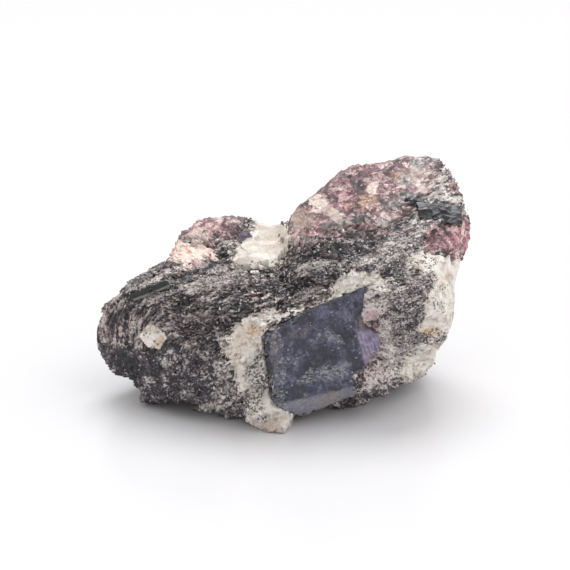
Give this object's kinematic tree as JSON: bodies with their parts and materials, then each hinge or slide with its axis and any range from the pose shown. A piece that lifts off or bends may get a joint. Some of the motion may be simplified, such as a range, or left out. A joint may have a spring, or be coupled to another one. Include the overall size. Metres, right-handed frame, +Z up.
{
  "type": "mineral specimen",
  "caption": "Hand-sized ruby specimen: a dark indigo corundum prism in a white feldspar rim, set in folded mica schist with red ruby crusts and black hornblende.",
  "frame": {"origin": "middle of the specimen's footprint box, on the surface it rests on", "axes": "+X along the specimen's length, towards the ridge end; +Y from the ruby's side to the back; +Z up"},
  "size_m": [0.0761, 0.0458, 0.0455],
  "materials": {
    "schist": "natural broken surface, glinting mica flakes",
    "ruby": "dull natural crystal faces, dark indigo",
    "violet_ruby": "dull natural crystal faces, violet grey",
    "ruby_crust": "rough crust of small red crystals",
    "feldspar": "matt broken surface, off-white",
    "peach_feldspar": "matt broken surface, peach",
    "hornblende": "glossy black cleavage faces"
  },
  "bodies": {
    "root": {"mica_schist": "schist", "ruby_crystal": "ruby", "violet_ruby_crystal": "violet_ruby", "hornblende_crystals": "hornblende", "hornblende_blade": "hornblende", "feldspar_grain": "feldspar", "feldspar_collar": "feldspar", "feldspar_side": "feldspar", "feldspar_foot": "feldspar", "feldspar_top": "feldspar", "feldspar_mound": "peach_feldspar", "ruby_crust_mound": "ruby_crust", "ruby_crust_ridge": "ruby_crust", "ruby_crust_side": "ruby_crust"}
  },
  "joints": []
}
